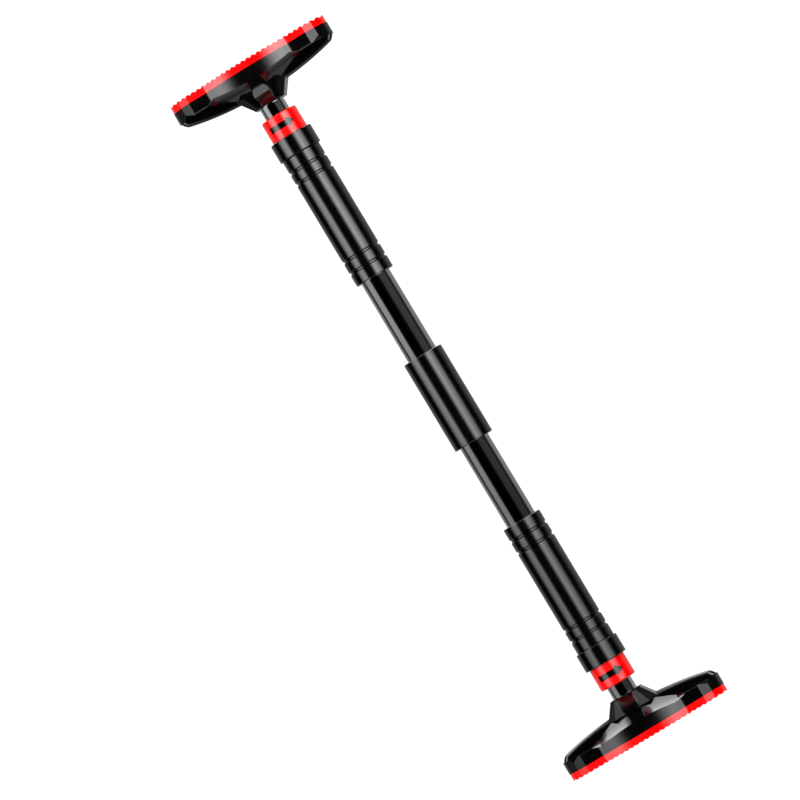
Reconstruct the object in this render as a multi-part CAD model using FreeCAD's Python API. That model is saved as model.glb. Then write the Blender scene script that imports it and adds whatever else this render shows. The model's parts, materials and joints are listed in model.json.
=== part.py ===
"""Doorway pull up bar: a tube with grips, a screw-driven foot at each end, and a lock collar at each end.

Millimetres. X runs along the bar, Z up along the feet (the height of a door jamb), Y through the doorway,
and the origin is the middle of the bar. Every end piece is built once for the right end, where u is the
distance from the middle of the bar, and is mirrored for the left end. So the right end's screw is
right-handed, the left end's is left-handed, and turning the bar drives both feet outwards together.
"""
import FreeCAD, Part
import math
import os

V = FreeCAD.Vector
ALONG_BAR = V(1, 0, 0)

# ---- driving dimensions -------------------------------------------------------------------------------
RUN = 0.05            # radial clearance of a running fit
SEAT = 0.03           # radial clearance of pieces that are glued or pressed together
FACE_GAP = 0.3        # gap between faces that turn against each other
OVERCUT = 1.0         # how far a cutting solid reaches past what it cuts

TUBE_R = 16.0
TUBE_WALL = 1.5
TUBE_END = 296.0

SLEEVE_R = 21.45
SLEEVE_HALF = 50.3
SLEEVE_EDGE = 1.2

GRIP_R = 20.9
GRIP_START = 142.0
GRIP_END = 286.8
GRIP_GROOVE_DEPTH = 1.4
GRIP_GROOVE_WIDTH = 3.8
GRIP_GROOVES = (156.0, 169.2, 260.2, 272.8)
GRIP_EDGE = 1.0

CAP_R = 23.0
CAP_START = GRIP_END
CAP_END = 306.8
CAP_EDGE = 0.9
CAP_TUBE_STOP = 297.0
NOSE_R = 17.5
NOSE_END = 328.0
NOSE_SLOTS = 4
NOSE_SLOT_WIDTH = 1.6
NOSE_SLOT_START = 310.0

COLLAR_R = 19.45
COLLAR_START = CAP_END + FACE_GAP
COLLAR_END = 331.0
COLLAR_LIP = 2.5
COLLAR_LIP_CLEARANCE = 0.4
COLLAR_OUTER_EDGE = 1.8
LUG_HEIGHT = 1.5
LUG_TOP_R = 18.85
LUG_ROOT_R = 17.0
LUG_SLOT_R = 19.15
LUG_ANGLE = 12.0      # degrees, at the back of the cap
LUG_START = 84.0
LOCK_TURN = 90.0      # degrees from locked to free
LUG_PLAY = 1.5        # degrees each way

RING_U = 318.5
RING_WIDTH = 1.2
RING_GROOVE_DEPTH = 0.8
RING_RISE = 0.7
RING_GAP = 3.0
RING_SEAT_PLAY = 0.1  # each side of the ring, in the nose
RING_ROOM_PLAY = 0.3  # each side of the ring, in the collar
RING_ROOM_RISE = 0.2  # over the ring, in the collar

ARROW_SPAN = 43.5     # degrees from the front, each way
ARROW_HEAD_START = 16.5
ARROW_SHANK_WIDTH = 6.3
ARROW_HEAD_WIDTH = 12.0
ARROW_DEPTH = 0.4
ARROW_SUNK = 0.02     # how far its face sits below the collar's

BUSH_OUTER_R = 15.5
BUSH_START = 301.8
BUSH_END = 328.1

SHAFT_R = 13.5
SHAFT_WALL = 3.0
SHAFT_START = 150.0
SHAFT_END = 371.0
KEY_WIDTH = 4.0
KEY_DEPTH = 1.5

ROD_R = 6.0
ROD_START = 12.0
ROD_END = 277.0
STOP_R = 9.0
STOP_START = 270.0
STOP_LENGTH = 5.0
STOP_FLAT = 7.8
ANCHOR_HALF = 40.0
ANCHOR_PIN_U = 30.0
ANCHOR_PIN_R = 3.0
ANCHOR_PIN_DEPTH = 0.3        # how far its ends sit below the tube's face

NUT_LENGTH = 22.0
NUT_PIN_R = 2.0
NUT_PIN_INNER = 7.6
NUT_PIN_OUTER = 13.1
NUT_PIN_HOLE_INNER = 7.5
PLUG_LENGTH = 20.0
BOLT_R = 4.0
BOLT_CLEARANCE = 0.3
BOLT_HEAD_ACROSS_FLATS = 13.0
BOLT_HEAD_HEIGHT = 5.3
BOLT_END = 352.0
WASHER_R = 12.0
WASHER_THICKNESS = 2.0

# The foot: its outline seen along the bar.
FOOT_HALF_LENGTH = 90.1
FOOT_HALF_DEPTH = 37.5
BELLY_R = 108.0
BELLY_TURN = 24.7             # degrees the belly has turned where it runs out
RUNOUT_R = 12.0
FACET_STARTS = (68.3, 78.0)   # heights where the two end facets start
FACET_TURNS = (31.0, 50.0)    # their slopes in degrees

# The foot: its levels along the bar.
HUB_TIP = 344.0
HUB_TIP_SIZE = (16.8, 15.8, 4.4)        # half height, half depth, corner
HUB_SHOULDER = 345.6
HUB_SHOULDER_SIZE = (17.6, 16.8, 5.0)
HUB_BASE = 361.5
HUB_BASE_SIZE = (29.0, 23.4, 9.0)
WALL_BOTTOM = 385.3
RIM_TOP = 372.1               # the wall's upper edge in the middle of the belly
RIM_DROP_R = 215.0            # it drops towards the ends along this radius
RIM_STATIONS = 3              # sections each side of the middle
BEVEL_TOP = 355.8             # the bevel's inner edge in the middle of the belly
BEVEL_DROP_R = 80.0
BEVEL_INNER = 16.5            # how far out that edge lies
BEVEL_HOLLOW = 0.09           # how hollow the bevel is, as a share of its depth
BRIM_SLOPE = 0.6              # the bevel is carried outside the wall at this slope before it is trimmed
BRIM_REACH = 2.0
WAIST_START = 54.0
WAIST_RIM = 373.6
WAIST_RISE = 1.2
WAIST_INSET = 1.0
CORNER_CUT = ((69.5, 372.4), (78.0, 376.9), (81.4, 372.2))   # heights and levels on the wall
CORNER_CUT_R = 20.0
SKIRT_ARC = ((357.5, 19.0), (363.2, 23.0), (372.6, 31.0))    # levels and radii of the sweep round the hub
TROUGH_EDGE = ((0.0, 17.0), (33.0, 18.6), (46.0, 17.4), (53.5, 20.5), (66.0, 20.5), (77.5, 13.0))
TROUGH_FLOOR = 375.5
SPINE_HALF = 5.0
SPINE_EDGE = 4.5
SPINE_BACK = ((357.6, 25.6), (361.1, 57.0), (366.5, 83.4))   # levels and heights of its long curve
SPINE_BEND = (370.4, 87.6)                                   # half way round its end
SPINE_TIP = 378.0
BOSS_HALF_WIDTH = 8.4                         # at its face, from the crest to the round heel
BOSS_TOP_HALF_WIDTH = 6.0
BOSS_DRAFT = 2.0                              # how much wider each side is at its root
BOSS_TOP = (345.4, 17.6)                      # level and distance out from the shaft's axis
BOSS_CREST = (355.0, 30.0)
BOSS_HEEL = (365.2, 26.5)
BOSS_ROOT = 14.0
SOCKET_END = 371.5
SOCKET_KEY_START = 348.0
CAVITY_TOP = 379.0
CAVITY_WALL = 3.2
COUNTERBORE_R = 14.0
COUNTERBORE_TOP = 376.0
PLATE_THICKNESS = 3.0
PLATE_INSET = 3.6
SCREW_HEIGHTS = (-62.0, -38.0, 38.0, 62.0)
SCREW_R = 1.95
SCREW_HEAD_R = 4.0
SCREW_LENGTH = 15.0
SCREW_HOLE_LENGTH = 17.0
PAD_FACE = 393.3
PAD_INSET = 0.5
PAD_TONGUE_INSET = 3.8
RIB_PITCH = 6.0
RIB_DEPTH = 1.3
RIB_CREST = 1.8
RIB_ROOT = 1.6

TUBE_BORE_R = TUBE_R - TUBE_WALL
SHAFT_BORE_R = SHAFT_R - SHAFT_WALL
CAP_BORE_R = BUSH_OUTER_R + RUN
COLLAR_BORE_R = NOSE_R + RUN
PLATE_TOP = CAVITY_TOP
PLATE_BOTTOM = PLATE_TOP + PLATE_THICKNESS
BELLY_ANGLE = math.radians(BELLY_TURN)
FACET_ANGLES = [math.radians(degrees) for degrees in FACET_TURNS]
BELLY_CENTRE = FOOT_HALF_DEPTH - BELLY_R
BELLY_END = BELLY_R * math.sin(BELLY_ANGLE)
WAIST_DEPTH = FOOT_HALF_DEPTH - (BELLY_R + RUNOUT_R) * (1 - math.cos(BELLY_ANGLE))
RUNOUT_END = BELLY_END + RUNOUT_R * math.sin(BELLY_ANGLE)
SECOND_FACET_DEPTH = WAIST_DEPTH - (FACET_STARTS[1] - FACET_STARTS[0]) * math.tan(FACET_ANGLES[0])


# ---- helpers ------------------------------------------------------------------------------------------
def polar(u, radius, degrees):
    """The point at a radius and an angle about the bar; 0 is +Y and 90 is +Z."""
    angle = math.radians(degrees)
    return V(u, radius * math.cos(angle), radius * math.sin(angle))


def turned(profile):
    """A solid of revolution about the bar from (u, radius) corners."""
    corners = [V(u, radius, 0) for u, radius in profile]
    face = Part.Face(Part.makePolygon(corners + corners[:1]))
    return face.revolve(V(0, 0, 0), ALONG_BAR, 360)


def rod(radius, start, end):
    return Part.makeCylinder(radius, end - start, V(start, 0, 0), ALONG_BAR)


def tube(outer, inner, start, end):
    return turned([(start, inner), (start, outer), (end, outer), (end, inner)])


def box(u, y, z):
    """A box from three (low, high) pairs."""
    return Part.makeBox(u[1] - u[0], y[1] - y[0], z[1] - z[0], V(u[0], y[0], z[0]))


def sector(inner, outer, start, end, first, last):
    """Part of a ring about the bar, between two angles."""
    corners = [(start, inner), (start, outer), (end, outer), (end, inner)]
    points = [polar(u, radius, first) for u, radius in corners]
    face = Part.Face(Part.makePolygon(points + points[:1]))
    return face.revolve(V(0, 0, 0), ALONG_BAR, last - first)


def extruded(outline, direction):
    return Part.Face(outline).extrude(direction)


def cross_pin(radius, side, half):
    """A rod straight through the bar, front to back, at one of the anchor's two pin places."""
    return Part.makeCylinder(radius, 2 * half, V(side * ANCHOR_PIN_U, -half, 0), V(0, 1, 0))


def circles_at(shape, u, radii):
    """The round edges about the bar at one level."""
    return [
        edge for edge in shape.Edges
        if isinstance(edge.Curve, Part.Circle)
        and abs(edge.Curve.Center.x - u) < 0.01
        and math.hypot(edge.Curve.Center.y, edge.Curve.Center.z) < 0.01
        and min(abs(edge.Curve.Radius - radius) for radius in radii) < 0.01
    ]


# ---- bar ----------------------------------------------------------------------------------------------
def main_tube():
    shape = tube(TUBE_R, TUBE_BORE_R, -TUBE_END, TUBE_END)
    for side in (-1, 1):
        shape = shape.cut(cross_pin(ANCHOR_PIN_R + SEAT, side, TUBE_R + OVERCUT))
    return shape


def centre_sleeve():
    shape = tube(SLEEVE_R, TUBE_R + SEAT, -SLEEVE_HALF, SLEEVE_HALF)
    edges = circles_at(shape, -SLEEVE_HALF, [SLEEVE_R]) + circles_at(shape, SLEEVE_HALF, [SLEEVE_R])
    return shape.makeFillet(SLEEVE_EDGE, edges)


def centre_anchor():
    shape = rod(TUBE_BORE_R - SEAT, -ANCHOR_HALF, ANCHOR_HALF)
    for side in (-1, 1):
        rod_hole = Part.makeCylinder(
            ROD_R + SEAT, ANCHOR_HALF - ROD_START + OVERCUT, V(side * ROD_START, 0, 0), V(side, 0, 0)
        )
        shape = shape.cut(rod_hole).cut(cross_pin(ANCHOR_PIN_R + SEAT, side, TUBE_R))
    return shape


def anchor_pins():
    return Part.makeCompound([cross_pin(ANCHOR_PIN_R, side, TUBE_R - ANCHOR_PIN_DEPTH) for side in (-1, 1)])


def grip():
    shape = tube(GRIP_R, TUBE_R + SEAT, GRIP_START, GRIP_END)
    edges = circles_at(shape, GRIP_START, [GRIP_R]) + circles_at(shape, GRIP_END, [GRIP_R])
    shape = shape.makeFillet(GRIP_EDGE, edges)
    half = GRIP_GROOVE_WIDTH / 2
    for middle in GRIP_GROOVES:
        groove = turned([
            (middle - half, GRIP_R + OVERCUT),
            (middle - half, GRIP_R),
            (middle - half / 3, GRIP_R - GRIP_GROOVE_DEPTH),
            (middle + half / 3, GRIP_R - GRIP_GROOVE_DEPTH),
            (middle + half, GRIP_R),
            (middle + half, GRIP_R + OVERCUT),
        ])
        shape = shape.cut(groove)
    return shape


def end_cap():
    """The cap grips the tube's end, houses the bush, and carries the collar on its slotted nose."""
    shape = turned([
        (CAP_START + FACE_GAP / 3, TUBE_R + SEAT),
        (CAP_START + FACE_GAP / 3, CAP_R),
        (CAP_END, CAP_R),
        (CAP_END, NOSE_R),
        (NOSE_END, NOSE_R),
        (NOSE_END, CAP_BORE_R),
        (BUSH_START - FACE_GAP, CAP_BORE_R),
        (BUSH_START - FACE_GAP, TUBE_BORE_R),
        (CAP_TUBE_STOP, TUBE_BORE_R),
        (CAP_TUBE_STOP, TUBE_R + SEAT),
    ])
    edges = circles_at(shape, CAP_END, [CAP_R]) + circles_at(shape, CAP_START + FACE_GAP / 3, [CAP_R])
    shape = shape.makeFillet(CAP_EDGE, edges)
    seat_half = RING_WIDTH / 2 + RING_SEAT_PLAY
    ring_seat = tube(NOSE_R + OVERCUT, NOSE_R - RING_GROOVE_DEPTH, RING_U - seat_half, RING_U + seat_half)
    shape = shape.cut(ring_seat)
    for number in range(NOSE_SLOTS):
        slot = box(
            (NOSE_SLOT_START, NOSE_END + OVERCUT), (BUSH_OUTER_R - OVERCUT, NOSE_R + OVERCUT),
            (-NOSE_SLOT_WIDTH / 2, NOSE_SLOT_WIDTH / 2),
        )
        slot.rotate(V(0, 0, 0), ALONG_BAR, 45 + number * 360 / NOSE_SLOTS)
        shape = shape.cut(slot)
    lug = sector(
        LUG_ROOT_R, LUG_TOP_R, CAP_END - OVERCUT / 2, COLLAR_START + LUG_HEIGHT,
        LUG_START, LUG_START + LUG_ANGLE,
    )
    return shape.fuse(lug)


def screw_rod():
    return rod(ROD_R, ROD_START + SEAT, ROD_END).cut(cross_pin(ANCHOR_PIN_R + SEAT, 1, TUBE_R))


def rod_stop():
    """A ring with two flats, fixed on the rod's end."""
    ring = tube(STOP_R, ROD_R + SEAT, STOP_START, STOP_START + STOP_LENGTH)
    flats = box((STOP_START, STOP_START + STOP_LENGTH), (-STOP_R, STOP_R), (-STOP_FLAT, STOP_FLAT))
    return ring.common(flats)


def snap_ring():
    inner = NOSE_R - RING_GROOVE_DEPTH + SEAT
    ring = tube(NOSE_R + RING_RISE, inner, RING_U - RING_WIDTH / 2, RING_U + RING_WIDTH / 2)
    reach = NOSE_R + RING_RISE + OVERCUT
    gap = box((RING_U - RING_WIDTH, RING_U + RING_WIDTH), (0, reach), (-RING_GAP / 2, RING_GAP / 2))
    return ring.cut(gap)


# ---- lock ---------------------------------------------------------------------------------------------
def arrow(inner, outer, grown):
    """The arrow wrapped round the front of the collar, between two radii, pointing up."""
    middle = (COLLAR_START + COLLAR_END) / 2
    half = ARROW_SHANK_WIDTH / 2 + grown
    more = math.degrees(grown / COLLAR_R)
    front = 180.0
    shank = sector(
        inner, outer, middle - half, middle + half, front - ARROW_HEAD_START, front + ARROW_SPAN + more
    )
    head_middle = (ARROW_HEAD_START + ARROW_SPAN) / 2
    reach = COLLAR_R * math.sin(math.radians(ARROW_SPAN - head_middle)) + grown
    half = ARROW_HEAD_WIDTH / 2 + 2 * grown
    corners = [V(middle - half, 0, -reach), V(middle + half, 0, -reach), V(middle, 0, reach + grown)]
    prism = extruded(Part.makePolygon(corners + corners[:1]), V(0, -2 * outer, 0))
    prism.rotate(V(0, 0, 0), ALONG_BAR, -head_middle)
    head = tube(outer, inner, middle - half - OVERCUT, middle + half + OVERCUT).common(prism)
    return shank.fuse(head).removeSplitter()


def lock_collar():
    """A quarter-turn collar; its inner end has a slot that runs over the cap's lug from stop to stop."""
    shape = turned([
        (COLLAR_START, COLLAR_BORE_R),
        (COLLAR_START, COLLAR_R),
        (COLLAR_END, COLLAR_R),
        (COLLAR_END, SHAFT_R + COLLAR_LIP_CLEARANCE),
        (COLLAR_END - COLLAR_LIP, SHAFT_R + COLLAR_LIP_CLEARANCE),
        (COLLAR_END - COLLAR_LIP, COLLAR_BORE_R),
    ])
    shape = shape.makeFillet(COLLAR_OUTER_EDGE, circles_at(shape, COLLAR_END, [COLLAR_R]))
    room_half = RING_WIDTH / 2 + RING_ROOM_PLAY
    ring_room = tube(
        NOSE_R + RING_RISE + RING_ROOM_RISE, NOSE_R - OVERCUT, RING_U - room_half, RING_U + room_half
    )
    lug_slot = sector(
        LUG_ROOT_R, LUG_SLOT_R, COLLAR_START - OVERCUT, COLLAR_START + LUG_HEIGHT + FACE_GAP,
        LUG_START - LOCK_TURN - LUG_PLAY, LUG_START + LUG_ANGLE + LUG_PLAY,
    )
    pocket = arrow(COLLAR_R - ARROW_DEPTH - SEAT, COLLAR_R + OVERCUT, SEAT)
    return shape.cut(ring_room).cut(lug_slot).cut(pocket)


def lock_arrow():
    return arrow(COLLAR_R - ARROW_DEPTH, COLLAR_R - ARROW_SUNK, 0)


def key_bar(width, start, end):
    """The key at the back of the shaft, between two levels."""
    return box((start, end), (SHAFT_R - KEY_DEPTH, SHAFT_R + OVERCUT), (-width / 2, width / 2))


def clamp_bush():
    """The bush turns with the shaft, because its key slides in the shaft's keyway."""
    sleeve = tube(BUSH_OUTER_R, SHAFT_R + RUN, BUSH_START, BUSH_END)
    half = KEY_WIDTH / 2 - RUN
    key = box((BUSH_START, BUSH_END), (SHAFT_R - KEY_DEPTH + RUN, SHAFT_R + OVERCUT), (-half, half))
    return sleeve.fuse(key).removeSplitter()


# ---- shaft and screw ----------------------------------------------------------------------------------
def nut_pin_places():
    middle = SHAFT_START + NUT_LENGTH / 2
    return [(middle, side) for side in (-1, 1)]


def pin_along_z(radius, middle, side, inner, outer):
    return Part.makeCylinder(radius, outer - inner, V(middle, 0, side * inner), V(0, 0, side))


def shaft():
    shape = tube(SHAFT_R, SHAFT_BORE_R, SHAFT_START, SHAFT_END)
    shape = shape.cut(key_bar(KEY_WIDTH, SHAFT_START - OVERCUT, SHAFT_END + OVERCUT))
    for middle, side in nut_pin_places():
        shape = shape.cut(pin_along_z(NUT_PIN_R + SEAT, middle, side, NUT_PIN_HOLE_INNER, SHAFT_R + OVERCUT))
    return shape


def drive_nut():
    shape = tube(SHAFT_BORE_R - SEAT, ROD_R + RUN, SHAFT_START, SHAFT_START + NUT_LENGTH)
    for middle, side in nut_pin_places():
        shape = shape.cut(pin_along_z(NUT_PIN_R + SEAT, middle, side, NUT_PIN_HOLE_INNER, SHAFT_R))
    return shape


def nut_pins():
    pins = [
        pin_along_z(NUT_PIN_R, middle, side, NUT_PIN_INNER, NUT_PIN_OUTER) for middle, side in nut_pin_places()
    ]
    return Part.makeCompound(pins)


def shaft_plug():
    return tube(SHAFT_BORE_R - SEAT, BOLT_R + SEAT, SHAFT_END - PLUG_LENGTH, SHAFT_END)


def hub_washer():
    return tube(WASHER_R, BOLT_R + SEAT, COUNTERBORE_TOP, COUNTERBORE_TOP + WASHER_THICKNESS)


def hub_bolt():
    under_head = COUNTERBORE_TOP + WASHER_THICKNESS
    corners = [
        polar(under_head, BOLT_HEAD_ACROSS_FLATS / math.sqrt(3), 60 * number) for number in range(7)
    ]
    head = extruded(Part.makePolygon(corners), V(BOLT_HEAD_HEIGHT, 0, 0))
    return head.fuse(rod(BOLT_R, BOLT_END, under_head))


# ---- foot ---------------------------------------------------------------------------------------------
def outline_depth(height):
    """How deep the foot is, from its middle to its front, at a height no higher than the second facet."""
    if height <= BELLY_END:
        return BELLY_CENTRE + math.sqrt(BELLY_R ** 2 - height ** 2)
    if height <= RUNOUT_END:
        return WAIST_DEPTH + RUNOUT_R - math.sqrt(RUNOUT_R ** 2 - (RUNOUT_END - height) ** 2)
    if height <= FACET_STARTS[0]:
        return WAIST_DEPTH
    if height <= FACET_STARTS[1]:
        return WAIST_DEPTH - (height - FACET_STARTS[0]) * math.tan(FACET_ANGLES[0])
    return SECOND_FACET_DEPTH - (height - FACET_STARTS[1]) * math.tan(FACET_ANGLES[1])


def crossing(first, second):
    """Where two straight stretches of the outline meet; each is its slope and its distance from the middle."""
    (a, reach_a), (b, reach_b) = first, second
    spread = math.sin(b - a)
    height = (reach_b * math.cos(a) - reach_a * math.cos(b)) / spread
    depth = (reach_a * math.sin(b) - reach_b * math.sin(a)) / spread
    return (height, depth)


def foot_outline(inset, u):
    """The foot seen along the bar, moved inwards by inset: a belly, a run-out, two facets and a round end.

    One quarter is worked out, as (start, middle, end) points in (height, depth) with no middle on a
    straight stretch, and is then reflected into the other three.
    """
    def on_belly(angle):
        radius = BELLY_R - inset
        return (radius * math.sin(angle), BELLY_CENTRE + radius * math.cos(angle))

    def on_runout(angle):
        radius = RUNOUT_R + inset
        return (RUNOUT_END - radius * math.sin(angle), WAIST_DEPTH + RUNOUT_R - radius * math.cos(angle))

    lines = [(0.0, WAIST_DEPTH - inset)]
    for slope, height in zip(FACET_ANGLES, FACET_STARTS):
        reach = height * math.sin(slope) + outline_depth(height) * math.cos(slope)
        lines.append((slope, reach - inset))

    last = FACET_ANGLES[1]
    end_r = (lines[2][1] + inset - math.sin(last) * FOOT_HALF_LENGTH) / (1 - math.sin(last))
    end_centre = FOOT_HALF_LENGTH - end_r

    def on_end(angle):
        return (end_centre + (end_r - inset) * math.sin(angle), (end_r - inset) * math.cos(angle))

    quarter = [
        (on_belly(0), on_belly(BELLY_ANGLE / 2), on_belly(BELLY_ANGLE)),
        (on_runout(BELLY_ANGLE), on_runout(BELLY_ANGLE / 2), on_runout(0)),
        (on_runout(0), None, crossing(lines[0], lines[1])),
        (crossing(lines[0], lines[1]), None, crossing(lines[1], lines[2])),
        (crossing(lines[1], lines[2]), None, on_end(last)),
        (on_end(last), on_end((last + math.pi / 2) / 2), on_end(math.pi / 2)),
    ]
    edges = []
    for up, back in ((1, 1), (1, -1), (-1, -1), (-1, 1)):
        pieces = quarter if up == back else [piece[::-1] for piece in reversed(quarter)]
        for piece in pieces:
            points = [V(u, back * point[1], up * point[0]) for point in piece if point]
            curve = Part.Arc(*points) if len(points) == 3 else Part.LineSegment(*points)
            edges.append(curve.toShape())
    return Part.Wire(edges)


def foot_prism(inset, start, end):
    return extruded(foot_outline(inset, start), V(end - start, 0, 0))


def arc_drop(radius, height):
    """How far an arc has fallen away from its middle at a height."""
    return radius - math.sqrt(radius ** 2 - height ** 2)


def rim_section(height, depth, rim, top, inner):
    """The hull cut across at one height: a hollow bevel rises inwards from the wall's rim to its top."""
    out = depth + BRIM_REACH
    bend = ((rim + top) / 2 + BEVEL_HOLLOW * (depth - inner), (depth + inner) / 2)
    side = [(WALL_BOTTOM, out), (rim + BRIM_REACH * BRIM_SLOPE, out), (rim, depth), bend, (top, inner)]
    front = [V(u, y, height) for u, y in side]
    back = [V(u, -y, height) for u, y in side]
    curves = [
        Part.LineSegment(front[0], front[1]),
        Part.LineSegment(front[1], front[2]),
        Part.Arc(*front[2:]),
        Part.LineSegment(front[4], back[4]),
        Part.Arc(back[4], back[3], back[2]),
        Part.LineSegment(back[2], back[1]),
        Part.LineSegment(back[1], back[0]),
        Part.LineSegment(back[0], front[0]),
    ]
    return Part.Wire([curve.toShape() for curve in curves])


def belly_section(height):
    rim = RIM_TOP + arc_drop(RIM_DROP_R, height)
    top = BEVEL_TOP + arc_drop(BEVEL_DROP_R, height)
    return rim_section(height, outline_depth(abs(height)), rim, top, BEVEL_INNER)


def corner_cutter(up, back):
    """The space above a leaning plane through three points of the wall, at the first end facet."""
    points = [V(u, back * outline_depth(height), up * height) for height, u in CORNER_CUT]
    across = (points[1] - points[0]).cross(points[2] - points[0])
    outward = across if across.y * back > 0 else -across
    return Part.makeCylinder(CORNER_CUT_R, CORNER_CUT_R, points[0], outward)


def foot_hull():
    """The outer form: a wall whose upper edge drops from the belly to the waist, with a bevel above it."""
    pitch = BELLY_END / RIM_STATIONS
    stations = [belly_section(number * pitch) for number in range(-RIM_STATIONS, RIM_STATIONS + 1)]
    hull = Part.makeLoft(stations, True, False)
    for up in (-1, 1):
        ends = [
            rim_section(up * height, WAIST_DEPTH, WAIST_RIM, WAIST_RIM - WAIST_RISE, WAIST_DEPTH - WAIST_INSET)
            for height in (WAIST_START, FOOT_HALF_LENGTH + OVERCUT)
        ]
        hull = hull.fuse(Part.makeLoft([belly_section(up * BELLY_END)] + ends, True, True))
    hull = hull.common(foot_prism(0, HUB_TIP, WALL_BOTTOM))
    for up in (-1, 1):
        for back in (-1, 1):
            hull = hull.cut(corner_cutter(up, back))
    return hull


def foot_skirt():
    """The sweep from the hub down on to the bevels; the troughs cut it back to the front and the back."""
    top, middle, base = [V(u, radius, 0) for u, radius in SKIRT_ARC]
    inside = CAVITY_TOP - OVERCUT
    edges = [
        Part.Arc(top, middle, base).toShape(),
        Part.LineSegment(base, V(inside, base.y, 0)).toShape(),
        Part.LineSegment(V(inside, base.y, 0), V(inside, 0, 0)).toShape(),
        Part.LineSegment(V(inside, 0, 0), V(top.x, 0, 0)).toShape(),
        Part.LineSegment(V(top.x, 0, 0), top).toShape(),
    ]
    return Part.Face(Part.Wire(edges)).revolve(V(0, 0, 0), ALONG_BAR, 360)


def foot_spine():
    """The rib along the foot, with a rounded back, and its end rounded down to the wall."""
    start, crown, brow, bend = [V(u, -SPINE_HALF, height) for u, height in SPINE_BACK + (SPINE_BEND,)]
    tip = V(SPINE_TIP, -SPINE_HALF, FOOT_HALF_LENGTH)
    corners = [tip, V(CAVITY_TOP, -SPINE_HALF, FOOT_HALF_LENGTH), V(CAVITY_TOP, -SPINE_HALF, 0),
               V(start.x, -SPINE_HALF, 0), start]
    edges = [Part.LineSegment(first, second).toShape() for first, second in zip(corners, corners[1:])]
    edges += [Part.Arc(start, crown, brow).toShape(), Part.Arc(brow, bend, tip).toShape()]
    upper = extruded(Part.Wire(edges), V(0, 2 * SPINE_HALF, 0))
    back_edges = [
        edge for edge in upper.Edges
        if edge.BoundBox.YLength < SEAT and edge.BoundBox.XLength > SPINE_EDGE
        and edge.BoundBox.ZMax > SPINE_BACK[2][1] - 1 and edge.BoundBox.XMax < CAVITY_TOP
    ]
    upper = upper.makeFillet(SPINE_EDGE, back_edges)
    upper = upper.common(foot_prism(0, HUB_TIP, CAVITY_TOP))
    return upper.fuse(upper.mirror(V(0, 0, 0), V(0, 0, 1)))


def octagon(u, half_height, half_depth, corner):
    quarter = [(half_height, half_depth - corner), (half_height - corner, half_depth)]
    half = quarter + [(-height, depth) for height, depth in reversed(quarter)]
    outline = half + [(-height, -depth) for height, depth in half]
    points = [V(u, depth, height) for height, depth in outline]
    return Part.makePolygon(points + points[:1])


def foot_hub():
    """The flared, flat-sided root that the shaft stands in."""
    sections = [
        octagon(HUB_TIP, *HUB_TIP_SIZE),
        octagon(HUB_SHOULDER, *HUB_SHOULDER_SIZE),
        octagon(HUB_BASE, *HUB_BASE_SIZE),
        octagon(CAVITY_TOP, *HUB_BASE_SIZE),
    ]
    return Part.makeLoft(sections, True, True)


def boss_plan(depth, grown):
    """The tongue's outline at one depth: narrow at the hub's tip, round at the heel."""
    top, crest = BOSS_TOP[0] - grown, BOSS_CREST[0]
    narrow, wide = BOSS_TOP_HALF_WIDTH + grown, BOSS_HALF_WIDTH + grown
    round_centre = BOSS_HEEL[0] - BOSS_HALF_WIDTH
    edges = [
        Part.LineSegment(V(top, depth, -narrow), V(top, depth, narrow)).toShape(),
        Part.LineSegment(V(top, depth, narrow), V(crest, depth, wide)).toShape(),
        Part.LineSegment(V(crest, depth, wide), V(round_centre, depth, wide)).toShape(),
        Part.Arc(V(round_centre, depth, wide), V(round_centre + wide, depth, 0),
                 V(round_centre, depth, -wide)).toShape(),
        Part.LineSegment(V(round_centre, depth, -wide), V(crest, depth, -wide)).toShape(),
        Part.LineSegment(V(crest, depth, -wide), V(top, depth, -narrow)).toShape(),
    ]
    return Part.Wire(edges)


def foot_boss():
    """The raised tongue on the front of the hub, with a round lower end, and its twin on the back."""
    root = BOSS_CREST[0] + 2 * BOSS_HALF_WIDTH
    outline = [V(BOSS_TOP[0], -BOSS_TOP[1], 0), V(BOSS_CREST[0], -BOSS_CREST[1], 0),
               V(BOSS_HEEL[0], -BOSS_HEEL[1], 0), V(root, -BOSS_HEEL[1], 0), V(root, -BOSS_ROOT, 0),
               V(BOSS_TOP[0], -BOSS_ROOT, 0)]
    wedge = extruded(Part.makePolygon(outline + outline[:1]), V(0, 0, 4 * BOSS_HALF_WIDTH))
    wedge.translate(V(0, 0, -2 * BOSS_HALF_WIDTH))
    tapered = Part.makeLoft([boss_plan(-BOSS_CREST[1], 0), boss_plan(-BOSS_ROOT, BOSS_DRAFT)], True, True)
    front = wedge.common(tapered)
    return front.fuse(front.mirror(V(0, 0, 0), V(0, 1, 0)))


def trough_blocks():
    """The space between the spine and the front and back slopes, above the trough floor."""
    outline = [(0.0, 0.0)] + list(TROUGH_EDGE) + [(TROUGH_EDGE[-1][0], 0.0)]
    blocks = []
    for up in (-1, 1):
        for back in (-1, 1):
            corners = [V(HUB_TIP, back * depth, up * height) for height, depth in outline]
            plan = Part.makePolygon(corners + corners[:1])
            blocks.append(extruded(plan, V(TROUGH_FLOOR - HUB_TIP, 0, 0)))
    return blocks


def screw_place(height):
    return V(PLATE_BOTTOM, 0, height)


def plate_screws():
    """Countersunk screws, heads flush with the plate, points in the spine."""
    screws = []
    for height in SCREW_HEIGHTS:
        head = Part.makeCone(SCREW_HEAD_R, SCREW_R, SCREW_HEAD_R - SCREW_R, screw_place(height), V(-1, 0, 0))
        shank = Part.makeCylinder(SCREW_R, SCREW_LENGTH, screw_place(height), V(-1, 0, 0))
        screws.append(head.fuse(shank))
    return Part.makeCompound(screws)


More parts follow.
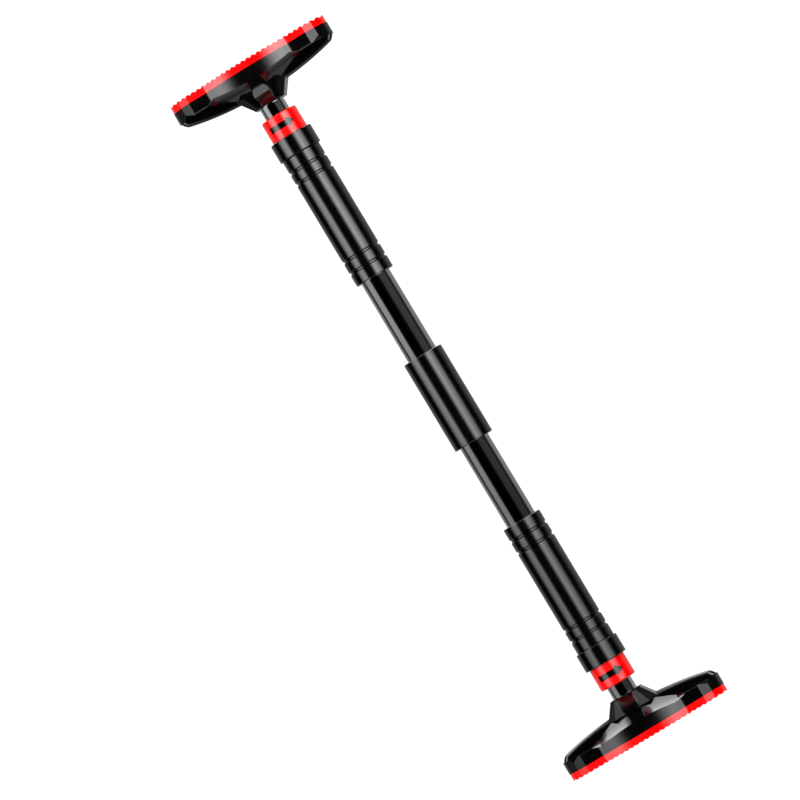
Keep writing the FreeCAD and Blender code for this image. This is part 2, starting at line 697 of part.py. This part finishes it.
def screw_holes():
    """The screws' holes: the countersink starts below the plate and is wider by the same amount."""
    holes = []
    for height in SCREW_HEIGHTS:
        place = screw_place(height) + V(SEAT, 0, 0)
        wide = SCREW_HEAD_R + 2 * SEAT
        head = Part.makeCone(wide, SCREW_R, wide - SCREW_R, place, V(-1, 0, 0))
        shank = Part.makeCylinder(SCREW_R + SEAT, SCREW_HOLE_LENGTH, place, V(-1, 0, 0))
        holes.append(head.fuse(shank))
    return holes


def foot_shell():
    shape = foot_hull().fuse(foot_skirt())
    for block in trough_blocks():
        shape = shape.cut(block)
    shape = shape.fuse(foot_spine()).fuse(foot_hub()).fuse(foot_boss())
    socket = rod(SHAFT_R + SEAT, HUB_TIP - OVERCUT, SOCKET_END)
    socket = socket.cut(key_bar(KEY_WIDTH - 2 * RUN, SOCKET_KEY_START, SOCKET_END))
    shape = shape.cut(socket)
    shape = shape.cut(rod(BOLT_R + BOLT_CLEARANCE, SOCKET_END - OVERCUT, CAVITY_TOP))
    shape = shape.cut(rod(COUNTERBORE_R, COUNTERBORE_TOP, CAVITY_TOP + OVERCUT))
    shape = shape.cut(foot_prism(CAVITY_WALL, CAVITY_TOP, WALL_BOTTOM + OVERCUT))
    for hole in screw_holes():
        shape = shape.cut(hole)
    return shape.removeSplitter()


def backing_plate():
    shape = foot_prism(PLATE_INSET, PLATE_TOP, PLATE_BOTTOM)
    shape = shape.cut(rod(COUNTERBORE_R, PLATE_TOP - OVERCUT, PLATE_BOTTOM + OVERCUT))
    for hole in screw_holes():
        shape = shape.cut(hole)
    return shape


def rib_profile():
    """The pad's face seen from the side: flat-topped ribs, one of them at mid height."""
    ribs = int(FOOT_HALF_LENGTH // RIB_PITCH) + 1
    slant = (RIB_PITCH - RIB_CREST - RIB_ROOT) / 2
    points = []
    for number in range(-ribs, ribs + 1):
        middle = number * RIB_PITCH
        points.append(V(PAD_FACE - RIB_DEPTH, 0, middle - RIB_CREST / 2 - slant))
        points.append(V(PAD_FACE, 0, middle - RIB_CREST / 2))
        points.append(V(PAD_FACE, 0, middle + RIB_CREST / 2))
        points.append(V(PAD_FACE - RIB_DEPTH, 0, middle + RIB_CREST / 2 + slant))
    points.append(V(WALL_BOTTOM, 0, points[-1].z))
    points.append(V(WALL_BOTTOM, 0, points[0].z))
    return Part.makePolygon(points + points[:1])


def pad():
    """The rubber pad: a tongue inside the foot's wall, and a ribbed slab that covers the wall's edge."""
    ribbed = extruded(rib_profile(), V(0, 2 * FOOT_HALF_LENGTH, 0))
    ribbed.translate(V(0, -FOOT_HALF_LENGTH, 0))
    slab = foot_prism(PAD_INSET, WALL_BOTTOM, PAD_FACE).common(ribbed)
    tongue = foot_prism(PAD_TONGUE_INSET, PLATE_BOTTOM, WALL_BOTTOM)
    recess = rod(COUNTERBORE_R, PLATE_BOTTOM - OVERCUT, WALL_BOTTOM)
    return slab.fuse(tongue.cut(recess)).removeSplitter()


# ---- output -------------------------------------------------------------------------------------------
CENTRE_PIECES = {
    "main_tube": main_tube,
    "centre_sleeve": centre_sleeve,
    "centre_anchor": centre_anchor,
    "anchor_pins": anchor_pins,
}
END_PIECES = {
    "grip": grip,
    "end_cap": end_cap,
    "screw_rod": screw_rod,
    "rod_stop": rod_stop,
    "snap_ring": snap_ring,
    "lock_collar": lock_collar,
    "lock_arrow": lock_arrow,
    "clamp_bush": clamp_bush,
    "shaft": shaft,
    "drive_nut": drive_nut,
    "nut_pins": nut_pins,
    "shaft_plug": shaft_plug,
    "hub_washer": hub_washer,
    "hub_bolt": hub_bolt,
    "foot_shell": foot_shell,
    "backing_plate": backing_plate,
    "plate_screws": plate_screws,
    "pad": pad,
}


def write(name, shape):
    assert shape.isValid() and shape.Solids, name
    shape.exportStep("parts/" + name + ".step")


os.makedirs("parts", exist_ok=True)
for name, build in CENTRE_PIECES.items():
    write(name, build())
for name, build in END_PIECES.items():
    right = build()
    write("right_" + name, right)
    write("left_" + name, right.mirror(V(0, 0, 0), ALONG_BAR))
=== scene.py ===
"""Looks of the doorway pull up bar: materials, studio and camera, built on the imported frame."""
import json
import math

import bmesh
import bpy
from mathutils import Matrix, Vector


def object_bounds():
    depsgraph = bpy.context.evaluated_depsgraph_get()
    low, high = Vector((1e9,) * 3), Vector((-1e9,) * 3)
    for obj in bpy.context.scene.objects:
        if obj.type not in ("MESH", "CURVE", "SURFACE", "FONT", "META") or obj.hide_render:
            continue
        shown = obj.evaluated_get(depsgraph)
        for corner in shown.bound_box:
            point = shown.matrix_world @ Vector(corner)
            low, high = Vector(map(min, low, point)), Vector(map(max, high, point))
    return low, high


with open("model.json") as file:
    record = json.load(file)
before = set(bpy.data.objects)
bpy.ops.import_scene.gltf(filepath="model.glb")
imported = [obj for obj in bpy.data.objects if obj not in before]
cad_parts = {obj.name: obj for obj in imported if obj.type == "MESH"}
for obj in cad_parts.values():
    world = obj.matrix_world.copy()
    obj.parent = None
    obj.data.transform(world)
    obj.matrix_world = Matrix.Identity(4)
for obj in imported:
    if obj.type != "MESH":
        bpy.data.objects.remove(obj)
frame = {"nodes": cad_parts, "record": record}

cad_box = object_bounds()

# ---- camera, in metres --------------------------------------------------------------------------------
CAMERA_DISTANCE = 7.0
CAMERA_ELEVATION = math.radians(6.6)
CAMERA_AZIMUTH = math.radians(1.55)
CAMERA_ROLL = math.radians(58.87)
CAMERA_REACH = 200.0
SENSOR = 36.0                    # millimetres
PICTURE_WIDTH = 0.8              # of the plane through the bar
BAR_OFFSET = (0.0482, 0.0019)    # where the middle of the bar lies in that plane, right and up

# ---- floor and backdrop, in metres --------------------------------------------------------------------
FLOOR_DROP = 0.65                # below the lowest point of the CAD
FLOOR_RADIUS = 60.0
FLOOR_SIDES = 96
FLOOR_GREY = 0.9
FLOOR_ROUGHNESS = 0.9
BACKDROP_AROUND = 170            # degrees about the bar, the direction of the backdrop's middle
BACKDROP_EDGE = (0.14, 0.5)      # cosines to that direction where the backdrop starts and where it is full
BACKDROP_STRENGTH = 0.42

# ---- lights, in metres; a radiance is the lamp's own, before its curves -------------------------------
LIGHT_DISTANCE = 1.6
STRIP_LENGTH = 4.2
LEVEL_DISTANCE = 1.37
LEVEL_AROUND = -13.2             # degrees about the bar, where level faces mirror the camera
END_DISTANCE = 1.7
NEAR_X = 0.3                     # sine of the angle from X within which a lamp's length lies beside Z

# Brightness curves: pairs of (share of the way, brightness).
EVEN = ((0, 1), (1, 1))
LOW_CURVE = ((0, 0), (0.45, 0.8), (0.65, 1), (1, 0))
HIGH_CURVE = ((0, 0), (0.38, 1), (0.6, 0.65), (1, 0))
SOFT_CURVE = ((0, 0), (0.3, 1), (0.8, 1), (1, 0))
FALL = ((0, 1.6), (0.42, 1.3), (0.58, 0.7), (1, 0.5))
METAL_FALL = ((0, 1.6), (0.42, 1.3), (0.58, 0.65), (0.75, 0.3))
NEW_STOP = 0.5                   # where a curve's extra stop is made, before it is put in its place

# Long softboxes beside the bar that light all but the bare metal, and those that light only the metal:
# name, degrees about the bar, width in degrees, radiance and the curve across the width.
STRIPS = (
    ("low_softbox", -57, 54, 3.7, LOW_CURVE),
    ("high_softbox", 36, 60, 4.9, HIGH_CURVE),
)
METAL_STRIPS = (
    ("low_metal_softbox", -75, 58, 0.56, SOFT_CURVE),
    ("high_metal_softbox", 50, 68, 0.08, SOFT_CURVE),
)
METAL_SLOTS = ("dark_tube", "bright_shaft")

# Small softboxes, each for one kind of face of the feet.
BOSS_LIGHT_X = -1.32
BOSS_LIGHT_SIZE = (0.34, 0.5)
BOSS_LIGHT_RADIANCE = 5.0
HUB_LIGHT_X = -0.98
HUB_LIGHT_SIZE = (0.3, 0.5)
HUB_LIGHT_RADIANCE = 0.8
SPINE_LIGHT_ALONG = 67           # degrees from square to the bar towards +X
SPINE_LIGHT_SIZE = (0.6, 0.5)
SPINE_LIGHT_RADIANCE = 1.2

# Softboxes beyond the bar's ends: name, place, the direction they face, size and radiance.
END_LIGHTS = (
    ("left_end_high_softbox", (-END_DISTANCE, 0.7, 0.65), (1, 0, 0), (1.3, 2.6), 4.0),
    ("left_end_low_softbox", (-END_DISTANCE, 0.7, -0.9), (1, 0, 0), (0.8, 2.6), 4.0),
    ("right_end_softbox", (END_DISTANCE, 0, 0), (-1, 0, 0), (2.6, 1.0), 0.6),
)

# ---- surfaces: noises are (scale, detail) -------------------------------------------------------------
MOULDED_CLOUD = (60.0, 3.0)
MOULDED_GLOSS = (220.0, 5.0)
GRAIN_DETAIL = 2.0
METAL_CLOUD = (40.0, 3.0)
METAL_LINES = (900.0, 3.0)
NOISE_SPAN = (0.3, 0.7)          # the part of the noise's range that is spread over a material's range
PLASTIC_IOR = 1.6
ACETAL_IOR = 1.48

# Noise stretches that draw lines out along X, from the longest lines to the shortest.
DRAWN = (0.02, 1, 1)
ROLLED = (0.1, 1, 1)
TURNED = (0.2, 1, 1)

# Colours: the two that the clouds run between.
BLACK = ((0.0005, 0.0005, 0.0005), (0.001, 0.001, 0.001))
RED = ((0.8, 0.0003, 0.0003), (0.88, 0.0008, 0.0008))
ACETAL = ((0.6, 0.59, 0.55), (0.7, 0.69, 0.65))
TUBE_CHROME = ((0.37, 0.37, 0.38), (0.42, 0.42, 0.43))
SHAFT_CHROME = ((0.52, 0.52, 0.53), (0.58, 0.58, 0.59))
ZINC = ((0.5, 0.5, 0.5), (0.6, 0.6, 0.58))
BRASS = ((0.62, 0.44, 0.17), (0.72, 0.54, 0.24))


# ---- node helpers -------------------------------------------------------------------------------------
def new_material(name):
    mat = bpy.data.materials.new(name)
    mat.use_nodes = True
    return mat, mat.node_tree.nodes["Principled BSDF"]


def node(nodes, kind, **values):
    made = nodes.new(kind)
    for key, value in values.items():
        setattr(made, key, value)
    return made


def noise(nodes, links, scale, detail, stretch=(1, 1, 1)):
    """Noise in the object's own space, stretched along its axes; returns the factor socket."""
    where = node(nodes, "ShaderNodeTexCoord")
    placed = node(nodes, "ShaderNodeMapping")
    placed.inputs["Scale"].default_value = stretch
    links.new(where.outputs["Object"], placed.inputs["Vector"])
    made = node(nodes, "ShaderNodeTexNoise")
    made.inputs["Scale"].default_value = scale
    made.inputs["Detail"].default_value = detail
    links.new(placed.outputs["Vector"], made.inputs["Vector"])
    return made.outputs["Fac"]


def spread(nodes, links, factor, low, high):
    """Maps a noise factor to a range of values."""
    made = node(nodes, "ShaderNodeMapRange")
    made.inputs["From Min"].default_value = NOISE_SPAN[0]
    made.inputs["From Max"].default_value = NOISE_SPAN[1]
    made.inputs["To Min"].default_value = low
    made.inputs["To Max"].default_value = high
    links.new(factor, made.inputs["Value"])
    return made.outputs["Result"]


def clouded_colour(nodes, links, cloud, colours):
    """A colour that drifts between two colours, by a noise of the given scale and detail."""
    made = node(nodes, "ShaderNodeMix", data_type="RGBA")
    made.inputs["A"].default_value = (*colours[0], 1)
    made.inputs["B"].default_value = (*colours[1], 1)
    links.new(spread(nodes, links, noise(nodes, links, *cloud), 0, 1), made.inputs["Factor"])
    return made.outputs["Result"]


def bump(nodes, links, height, distance):
    made = node(nodes, "ShaderNodeBump")
    made.inputs["Distance"].default_value = distance
    links.new(height, made.inputs["Height"])
    return made.outputs["Normal"]


# ---- materials ----------------------------------------------------------------------------------------
def moulded(name, colours, roughness, grain, grain_depth, ior=PLASTIC_IOR):
    """A moulded plastic or rubber: cloudy colour, uneven gloss and a fine moulded grain."""
    mat, shader = new_material(name)
    nodes, links = mat.node_tree.nodes, mat.node_tree.links
    links.new(clouded_colour(nodes, links, MOULDED_CLOUD, colours), shader.inputs["Base Color"])
    gloss = spread(nodes, links, noise(nodes, links, *MOULDED_GLOSS), *roughness)
    links.new(gloss, shader.inputs["Roughness"])
    grains = noise(nodes, links, grain, GRAIN_DETAIL)
    links.new(bump(nodes, links, grains, grain_depth), shader.inputs["Normal"])
    shader.inputs["IOR"].default_value = ior
    return mat


def polished(name, colours, roughness, stretch, depth):
    """A drawn or plated metal with fine lines along its stretch."""
    mat, shader = new_material(name)
    nodes, links = mat.node_tree.nodes, mat.node_tree.links
    lines = noise(nodes, links, *METAL_LINES, stretch)
    links.new(clouded_colour(nodes, links, METAL_CLOUD, colours), shader.inputs["Base Color"])
    links.new(spread(nodes, links, lines, *roughness), shader.inputs["Roughness"])
    links.new(bump(nodes, links, lines, depth), shader.inputs["Normal"])
    shader.inputs["Metallic"].default_value = 1.0
    return mat


SLOT_MATERIALS = {
    "dark_tube": polished("tube_chrome", TUBE_CHROME, (0.1, 0.16), DRAWN, 1e-6),
    "bright_shaft": polished("shaft_chrome", SHAFT_CHROME, (0.08, 0.14), DRAWN, 1e-6),
    "sleeve_rubber": moulded("sleeve_moulded", BLACK, (0.13, 0.18), 1600.0, 2e-6),
    "grip_rubber": moulded("grip_moulded", BLACK, (0.13, 0.19), 1600.0, 3e-6),
    "black_plastic": moulded("cap_plastic", BLACK, (0.13, 0.18), 1800.0, 2e-6),
    "foot_plastic": moulded("foot_plastic", BLACK, (0.14, 0.2), 1500.0, 3e-6),
    "arrow_black": moulded("arrow_ink", BLACK, (0.13, 0.18), 2400.0, 2e-6),
    "red_plastic": moulded("collar_red", RED, (0.13, 0.18), 1800.0, 2e-6),
    "red_rubber": moulded("pad_red_rubber", RED, (0.1, 0.15), 1400.0, 4e-6),
    "steel": polished("zinc_steel", ZINC, (0.25, 0.4), ROLLED, 4e-6),
    "brass_nut": polished("brass", BRASS, (0.22, 0.35), TURNED, 4e-6),
    "bush_plastic": moulded("bush_acetal", ACETAL, (0.35, 0.45), 1500.0, 5e-6, ACETAL_IOR),
}


def paint(piece, slot_name):
    piece.data.materials.clear()
    piece.data.materials.append(SLOT_MATERIALS[slot_name])


SLOTS = {part["node"]: part["material_slot"] for part in frame["record"]["subparts"]}
for name, slot_name in SLOTS.items():
    paint(frame["nodes"][name], slot_name)


# ---- studio -------------------------------------------------------------------------------------------
def studio_direction(around, along):
    """A direction from the bar: degrees about it from the camera's side, positive upwards, then along +X."""
    toward = Vector((0, -math.cos(CAMERA_ELEVATION), math.sin(CAMERA_ELEVATION)))
    up = Vector((0, math.sin(CAMERA_ELEVATION), math.cos(CAMERA_ELEVATION)))
    across = toward * math.cos(math.radians(around)) + up * math.sin(math.radians(around))
    return across * math.cos(math.radians(along)) + Vector((1, 0, 0)) * math.sin(math.radians(along))


def brightness_curve(nodes, links, share, stops):
    """Maps a share of the way, from 0 to 1, through a curve's stops; returns the value's socket."""
    ramp = node(nodes, "ShaderNodeValToRGB")
    ramp.color_ramp.interpolation = "EASE"
    while len(ramp.color_ramp.elements) < len(stops):
        ramp.color_ramp.elements.new(NEW_STOP)
    for element, (place_along, value) in zip(ramp.color_ramp.elements, stops):
        element.position = place_along
        element.color = (value, value, value, 1)
    links.new(share, ramp.inputs["Fac"])
    return ramp.outputs["Color"]


def softbox_turn(facing):
    """The rotation that points a lamp along facing, its length beside X, or beside Z if it faces near X."""
    back = -Vector(facing).normalized()
    side = Vector((1, 0, 0)) - back * back.x
    if side.length < NEAR_X:
        side = Vector((0, 0, 1)) - back * back.z
    side.normalize()
    return Matrix((side, back.cross(side), back)).transposed().to_euler()


def softbox(name, place, facing, size, radiance, across=EVEN, lengthways=EVEN, lights=None):
    """An area light at a place, facing a direction; size is its length and its width.

    Its brightness follows one curve across its width and one lengthways. It lights the pieces in lights,
    or everything.
    """
    data = bpy.data.lights.new(name, "AREA")
    data.shape = "RECTANGLE"
    data.size, data.size_y = size
    data.energy = radiance * math.pi * size[0] * size[1]
    data.use_nodes = True
    nodes, links = data.node_tree.nodes, data.node_tree.links
    where = node(nodes, "ShaderNodeNewGeometry")
    parts = node(nodes, "ShaderNodeSeparateXYZ")
    links.new(where.outputs["Parametric"], parts.inputs["Vector"])
    product = node(nodes, "ShaderNodeMath", operation="MULTIPLY")
    links.new(brightness_curve(nodes, links, parts.outputs["X"], lengthways), product.inputs[0])
    links.new(brightness_curve(nodes, links, parts.outputs["Y"], across), product.inputs[1])
    links.new(product.outputs["Value"], nodes["Emission"].inputs["Strength"])
    lamp = bpy.data.objects.new(name, data)
    bpy.context.scene.collection.objects.link(lamp)
    lamp.location = place
    lamp.rotation_euler = softbox_turn(facing)
    lamp.visible_camera = False
    if lights:
        group = bpy.data.collections.new(name + "_lights")
        for piece in lights:
            group.objects.link(piece)
        lamp.light_linking.receiver_collection = group


def strip_light(name, around, width, radiance, across, lengthways, lights):
    """A long softbox beside the bar; around and width are in degrees about the bar."""
    direction = studio_direction(around, 0)
    wide = 2 * LIGHT_DISTANCE * math.tan(math.radians(width / 2))
    place = direction * LIGHT_DISTANCE
    softbox(name, place, -direction, (STRIP_LENGTH, wide), radiance, across, lengthways, lights)


def long_lights():
    metal = [frame["nodes"][name] for name, slot_name in SLOTS.items() if slot_name in METAL_SLOTS]
    others = [piece for piece in frame["nodes"].values() if piece not in metal]
    for strip in STRIPS:
        strip_light(*strip, FALL, others)
    for strip in METAL_STRIPS:
        strip_light(*strip, METAL_FALL, metal)


def face_lights():
    level = studio_direction(LEVEL_AROUND, 0)
    boss_place = level * LEVEL_DISTANCE + Vector((BOSS_LIGHT_X, 0, 0))
    softbox("boss_softbox", boss_place, -boss_place, BOSS_LIGHT_SIZE, BOSS_LIGHT_RADIANCE)
    hub_place = level * LEVEL_DISTANCE + Vector((HUB_LIGHT_X, 0, 0))
    softbox("hub_softbox", hub_place, -level, HUB_LIGHT_SIZE, HUB_LIGHT_RADIANCE)
    spine_place = studio_direction(LEVEL_AROUND, SPINE_LIGHT_ALONG) * LIGHT_DISTANCE
    softbox("spine_softbox", spine_place, -spine_place, SPINE_LIGHT_SIZE, SPINE_LIGHT_RADIANCE)


def backdrop():
    """A white world for the camera; for everything else it is pale behind the bar and black elsewhere."""
    world = bpy.data.worlds.new("studio")
    bpy.context.scene.world = world
    world.use_nodes = True
    nodes, links = world.node_tree.nodes, world.node_tree.links
    where = node(nodes, "ShaderNodeTexCoord")
    behind = node(nodes, "ShaderNodeVectorMath", operation="DOT_PRODUCT")
    behind.inputs[1].default_value = studio_direction(BACKDROP_AROUND, 0)
    links.new(where.outputs["Generated"], behind.inputs[0])
    ramp = node(nodes, "ShaderNodeMapRange")
    ramp.inputs["From Min"].default_value = BACKDROP_EDGE[0]
    ramp.inputs["From Max"].default_value = BACKDROP_EDGE[1]
    ramp.inputs["To Min"].default_value = 0.0
    ramp.inputs["To Max"].default_value = BACKDROP_STRENGTH
    links.new(behind.outputs["Value"], ramp.inputs["Value"])
    path = node(nodes, "ShaderNodeLightPath")
    seen = node(nodes, "ShaderNodeMath", operation="MAXIMUM")
    links.new(ramp.outputs["Result"], seen.inputs[0])
    links.new(path.outputs["Is Camera Ray"], seen.inputs[1])
    nodes["Background"].inputs["Color"].default_value = (1, 1, 1, 1)
    links.new(seen.outputs["Value"], nodes["Background"].inputs["Strength"])


def floor():
    """A white floor below the bar, which the pieces don't mirror."""
    mesh = bpy.data.meshes.new("floor")
    shape = bmesh.new()
    bmesh.ops.create_circle(shape, cap_ends=True, radius=FLOOR_RADIUS, segments=FLOOR_SIDES)
    shape.to_mesh(mesh)
    shape.free()
    plane = bpy.data.objects.new("floor", mesh)
    plane.location.z = cad_box[0].z - FLOOR_DROP
    bpy.context.scene.collection.objects.link(plane)
    mat, shader = new_material("floor_pale")
    shader.inputs["Base Color"].default_value = (FLOOR_GREY, FLOOR_GREY, FLOOR_GREY, 1)
    shader.inputs["Roughness"].default_value = FLOOR_ROUGHNESS
    shader.inputs["Emission Color"].default_value = (1, 1, 1, 1)
    shader.inputs["Emission Strength"].default_value = 1.0
    mesh.materials.append(mat)
    plane.visible_glossy = False


def camera():
    data = bpy.data.cameras.new("camera")
    data.sensor_width = SENSOR
    data.lens = SENSOR * CAMERA_DISTANCE / PICTURE_WIDTH
    data.clip_end = CAMERA_REACH
    made = bpy.data.objects.new("camera", data)
    bpy.context.scene.collection.objects.link(made)
    back = Vector((
        math.sin(CAMERA_AZIMUTH) * math.cos(CAMERA_ELEVATION),
        -math.cos(CAMERA_AZIMUTH) * math.cos(CAMERA_ELEVATION),
        math.sin(CAMERA_ELEVATION),
    ))
    level = back.to_track_quat("Z", "Y").to_matrix()
    turn = level @ Matrix.Rotation(CAMERA_ROLL, 3, "Z")
    target = turn @ Vector((-BAR_OFFSET[0], -BAR_OFFSET[1], 0))
    made.matrix_world = Matrix.Translation(target + back * CAMERA_DISTANCE) @ turn.to_4x4()
    bpy.context.scene.camera = made


floor()
long_lights()
face_lights()
for end_light in END_LIGHTS:
    softbox(*end_light)
backdrop()
camera()
bpy.context.scene.view_settings.view_transform = "Standard"
